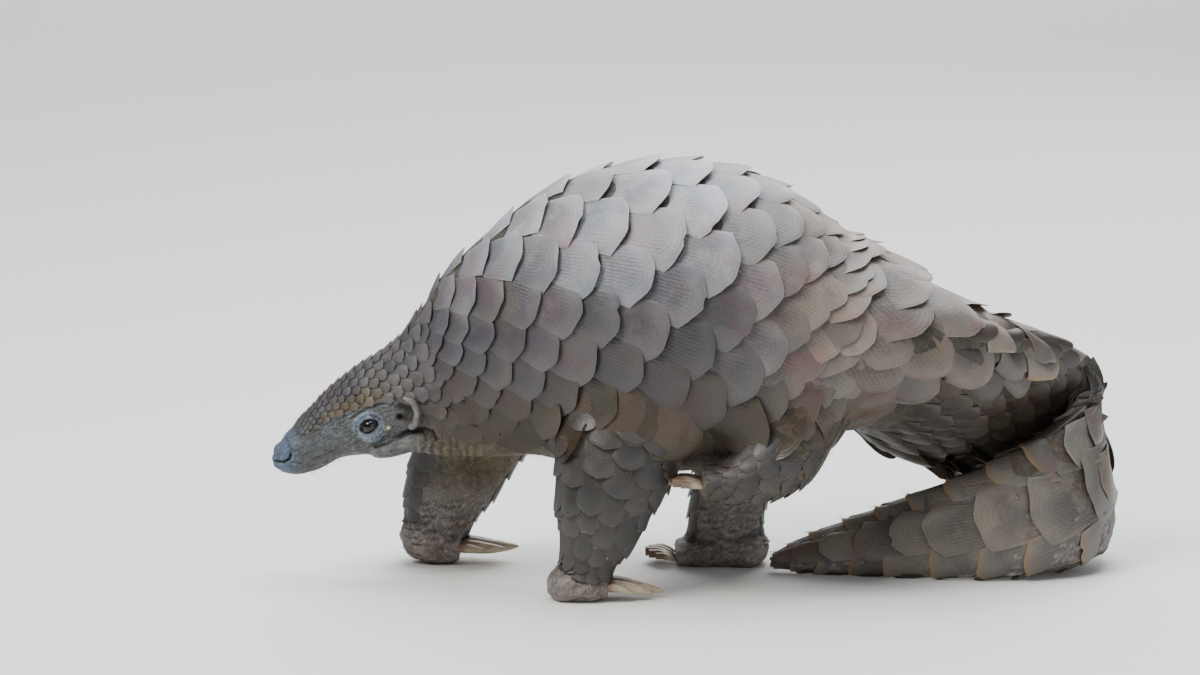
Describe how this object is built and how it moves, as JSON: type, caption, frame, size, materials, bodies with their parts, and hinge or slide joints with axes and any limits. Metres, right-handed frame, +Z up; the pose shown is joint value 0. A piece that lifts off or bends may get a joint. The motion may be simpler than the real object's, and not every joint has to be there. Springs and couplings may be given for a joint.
{
  "type": "pangolin figure",
  "caption": "Life-size still model of a walking Indian pangolin with overlapping horny scales, curled tail, lifted hind foot and long foreclaws",
  "frame": {"origin": "on the floor under the middle of the bounding box", "axes": "the head points to -X, the left side of the animal to -Y, +Z is up"},
  "size_m": [0.673, 0.2288, 0.337],
  "materials": {
    "scales": "dry horny plates, satin",
    "skin": "rough bare skin",
    "claws": "worn horn",
    "eye": "wet gloss"
  },
  "bodies": {
    "root": {"ear_left": "skin", "ear_right": "skin", "eye_left": "eye", "eye_right": "eye", "forefoot_left": "skin", "forefoot_left_claw_1": "claws", "forefoot_left_claw_2": "claws", "forefoot_left_claw_3": "claws", "forefoot_left_claw_4": "claws", "forefoot_left_claw_5": "claws", "forefoot_right": "skin", "forefoot_right_claw_1": "claws", "forefoot_right_claw_2": "claws", "forefoot_right_claw_3": "claws", "forefoot_right_claw_4": "claws", "forefoot_right_claw_5": "claws", "foreleg_left": "scales", "foreleg_right": "scales", "head": "scales", "hindfoot_left": "skin", "hindfoot_left_claw_1": "claws", "hindfoot_left_claw_2": "claws", "hindfoot_left_claw_3": "claws", "hindfoot_left_claw_4": "claws", "hindfoot_left_claw_5": "claws", "hindfoot_right": "skin", "hindfoot_right_claw_1": "claws", "hindfoot_right_claw_2": "claws", "hindfoot_right_claw_3": "claws", "hindfoot_right_claw_4": "claws", "hindfoot_right_claw_5": "claws", "hindleg_left": "scales", "hindleg_right": "scales", "neck": "scales", "tail_base": "scales", "tail_bend": "scales", "tail_far": "scales", "tail_near": "scales", "tail_tip": "scales", "torso": "scales"}
  },
  "joints": []
}
